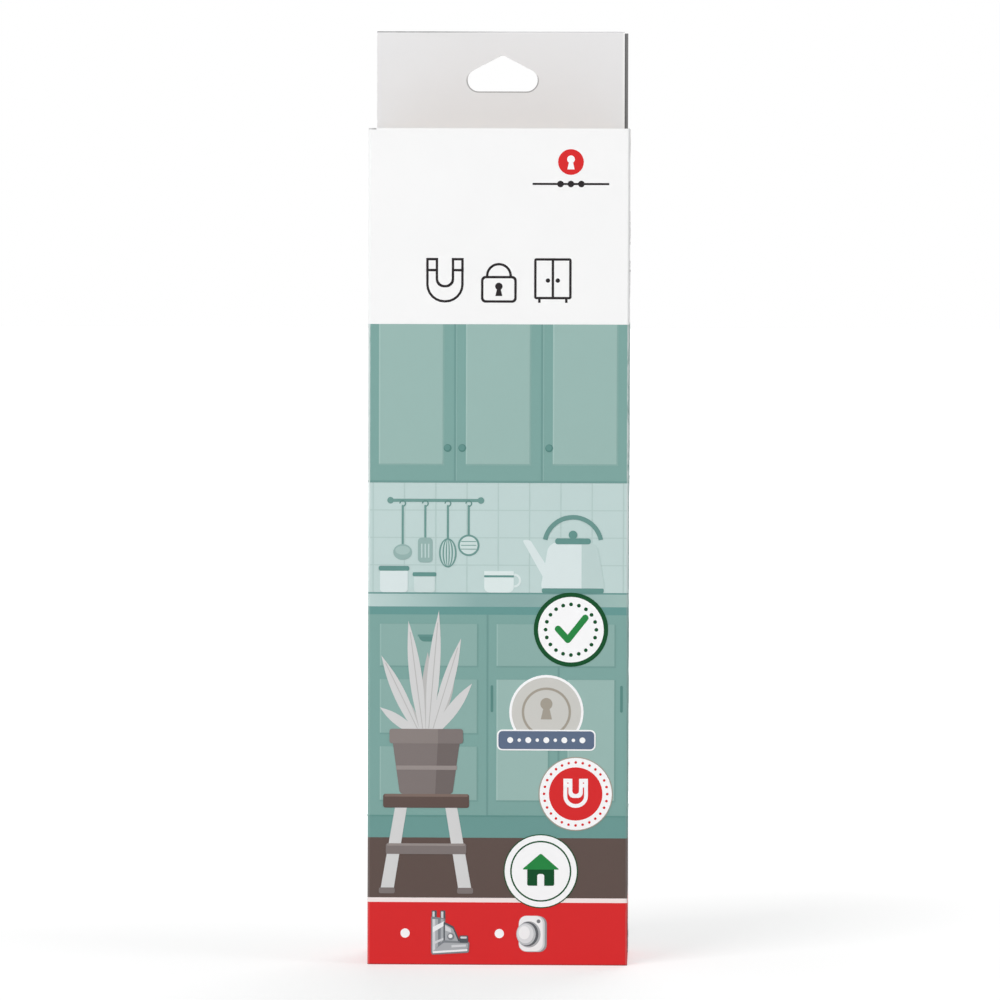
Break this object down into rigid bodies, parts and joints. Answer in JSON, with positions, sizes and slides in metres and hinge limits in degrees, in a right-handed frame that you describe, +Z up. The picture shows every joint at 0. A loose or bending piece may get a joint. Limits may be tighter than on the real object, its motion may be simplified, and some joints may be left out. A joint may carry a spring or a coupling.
{
  "type": "magnetic cabinet safety lock",
  "caption": "Magnetic cabinet lock in a hanging retail carton: a tray of stacked board slides out with the sprung latch, its strike, a cradle, a magnet key and a leaflet.",
  "frame": {"origin": "centre of the carton's footprint, on the surface that the carton stands on", "axes": "+X to the right and +Z up as seen from the front, +Y to the back, so the printed front faces -Y"},
  "size_m": [0.075, 0.04, 0.2695],
  "materials": {
    "carton_board": "coated and printed, soft sheen",
    "raw_board": "uncoated grey-white board",
    "stacked_board": "brown fluted board, matt",
    "leaflet_paper": "uncoated printing paper",
    "key_plastic": "white, satin gloss",
    "ring_rubber": "dark grey, matt",
    "magnet_nickel": "nickel plated",
    "flux_steel": "punched, zinc plated",
    "felt": "pressed felt",
    "lock_plastic": "silver grey, slightly translucent",
    "latch_plastic": "light grey, slippery",
    "cradle_plastic": "grey, frosted",
    "screw_steel": "zinc plated",
    "pin_steel": "ground",
    "spring_steel": "drawn wire",
    "foam_pad": "grey acrylic foam",
    "liner_paper": "siliconised release paper"
  },
  "bodies": {
    "root": {"carton_sleeve": "carton_board", "header_ply": "raw_board", "seam_flap": "raw_board", "bottom_flap": "carton_board", "dust_flap_left": "raw_board", "dust_flap_right": "raw_board"},
    "tray": {"insert_face": "stacked_board", "insert_middle": "stacked_board", "insert_rear": "stacked_board", "insert_back": "stacked_board", "leaflet": "leaflet_paper", "key_shell": "key_plastic", "key_back_cover": "key_plastic", "key_cover_screws": "screw_steel", "knob_ring": "ring_rubber", "knob_cup": "key_plastic", "key_magnet": "magnet_nickel", "flux_plate": "flux_steel", "felt_pad": "felt", "lock_base": "lock_plastic", "lock_hood": "lock_plastic", "hood_screws": "screw_steel", "pivot_pin": "pin_steel", "latch_spring": "spring_steel", "lock_pad": "foam_pad", "lock_liner": "liner_paper", "strike_base": "lock_plastic", "strike_pad": "foam_pad", "strike_liner": "liner_paper", "alignment_cradle": "cradle_plastic"},
    "latch": {"latch": "latch_plastic", "latch_magnet": "magnet_nickel"},
    "catch": {"catch_slider": "latch_plastic"}
  },
  "joints": [
    {"name": "tray_slide", "type": "slide", "parent": "root", "child": "tray", "axis": [0, 0, 1], "range_m": [0, 0.205]},
    {"name": "latch_pivot", "type": "hinge", "parent": "tray", "child": "latch", "pos_m": [0.007, -0.0005, 0.17285], "axis": [0, -1, 0], "range_deg": [0, 12], "stiffness_Nm_per_rad": 0.14, "springref_deg": -5.16, "deforming": ["latch_spring"]},
    {"name": "catch_slide", "type": "slide", "parent": "tray", "child": "catch", "axis": [0, 0, 1], "range_m": [0, 0.005]}
  ]
}
